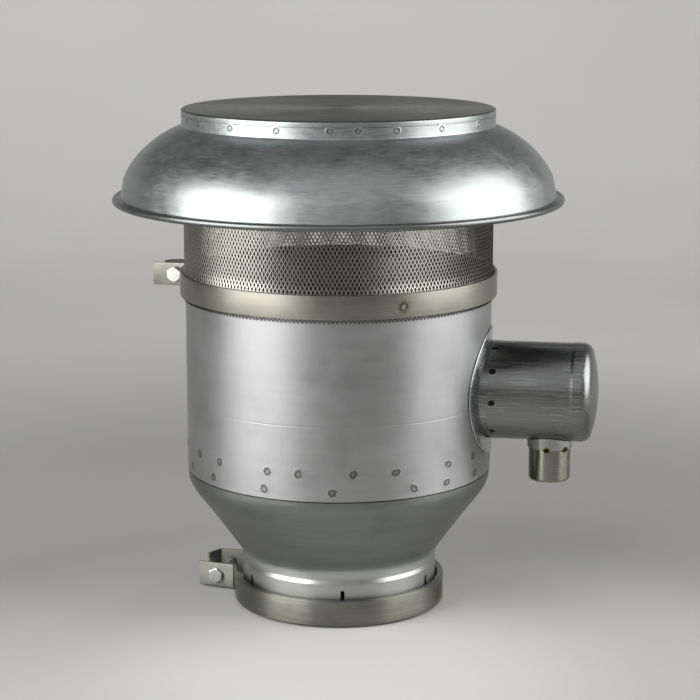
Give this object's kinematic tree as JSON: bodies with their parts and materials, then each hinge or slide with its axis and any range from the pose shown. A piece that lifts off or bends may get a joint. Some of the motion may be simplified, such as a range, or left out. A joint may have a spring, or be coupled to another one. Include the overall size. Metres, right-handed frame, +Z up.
{
  "type": "exhaust hood fan",
  "caption": "Round steel exhaust fan: clamped duct collar, cone and body, expanded-metal outlet screen under a spun rain hood, motor and impeller inside, wiring housing at the side.",
  "frame": {"origin": "on the duct axis, in the plane of the bottom edge of the duct collar and its clamp band", "axes": "+Z up along the duct axis, +X along the side housing"},
  "size_m": [0.4826, 0.4452, 0.4975],
  "materials": {
    "body_steel": "satin sheet steel",
    "cone_steel": "satin sheet steel",
    "hood_steel": "spun, semi-bright",
    "screen_mesh": "raw expanded metal",
    "band_steel": "mill finish, heat tinted at the welds",
    "pod_steel": "drawn, semi-bright",
    "zinc": "bright zinc",
    "galvanised": "galvanised",
    "motor_paint": "satin",
    "laminations": "varnished stack",
    "copper": "varnished wire",
    "bearing_steel": "ground",
    "impeller_metal": "pressed sheet",
    "rubber": "matte",
    "plastic": "moulded"
  },
  "bodies": {
    "base": {"body_shell": "body_steel", "cone_transition": "cone_steel", "duct_collar": "body_steel", "fan_shroud": "galvanised", "lower_clamp_band": "band_steel", "lower_band_weld": "band_steel", "lower_clamp_lock_washer": "zinc", "lower_clamp_nut": "zinc", "saddle_flange": "pod_steel", "side_neck": "pod_steel", "side_housing": "pod_steel", "conduit_stub": "galvanised", "conduit_collar": "galvanised", "conduit_bushing": "rubber", "wireway_tube": "galvanised", "wireway_grommet": "rubber", "terminal_bracket": "galvanised", "terminal_block": "plastic", "motor_lead": "rubber", "motor_drum": "galvanised", "motor_drum_lid": "galvanised", "motor_strut_1": "galvanised", "motor_strut_2": "galvanised", "motor_strut_3": "galvanised", "motor_strut_4": "galvanised", "lower_end_plate": "motor_paint", "upper_end_plate": "motor_paint", "stator_core": "laminations", "lower_winding": "copper", "upper_winding": "copper", "lower_bearing": "bearing_steel", "upper_bearing": "bearing_steel"},
    "impeller": {"motor_shaft": "bearing_steel", "rotor_core": "laminations", "impeller_hub": "impeller_metal", "impeller_blade_1": "impeller_metal", "impeller_blade_2": "impeller_metal", "impeller_blade_3": "impeller_metal", "impeller_blade_4": "impeller_metal", "impeller_blade_5": "impeller_metal", "impeller_blade_6": "impeller_metal", "impeller_nut": "zinc"},
    "hood": {"hood_lid": "hood_steel", "hood_bell": "hood_steel", "screen": "screen_mesh", "screen_top_ring": "galvanised", "upper_clamp_band": "band_steel", "upper_clamp_lock_washer": "zinc", "upper_clamp_nut": "zinc"},
    "upper_bolt": {"upper_clamp_bolt": "zinc"},
    "lower_bolt": {"lower_clamp_bolt": "zinc"}
  },
  "joints": [
    {"name": "impeller_spin", "type": "hinge", "parent": "base", "child": "impeller", "pos_m": [0, 0, 0.18], "axis": [0, 0, 1], "continuous": true},
    {"name": "hood_lift", "type": "slide", "parent": "base", "child": "hood", "axis": [0, 0, 1], "range_m": [0, 0.13]},
    {"name": "upper_clamp_bolt_turn", "type": "hinge", "parent": "hood", "child": "upper_bolt", "pos_m": [-0.16991, 0.00801, 0.32585], "axis": [0.0477, 0.9989, 0], "continuous": true},
    {"name": "lower_clamp_bolt_turn", "type": "hinge", "parent": "base", "child": "lower_bolt", "pos_m": [-0.12889, 0.00124, 0.0127], "axis": [0.1202, 0.9927, 0], "continuous": true}
  ]
}
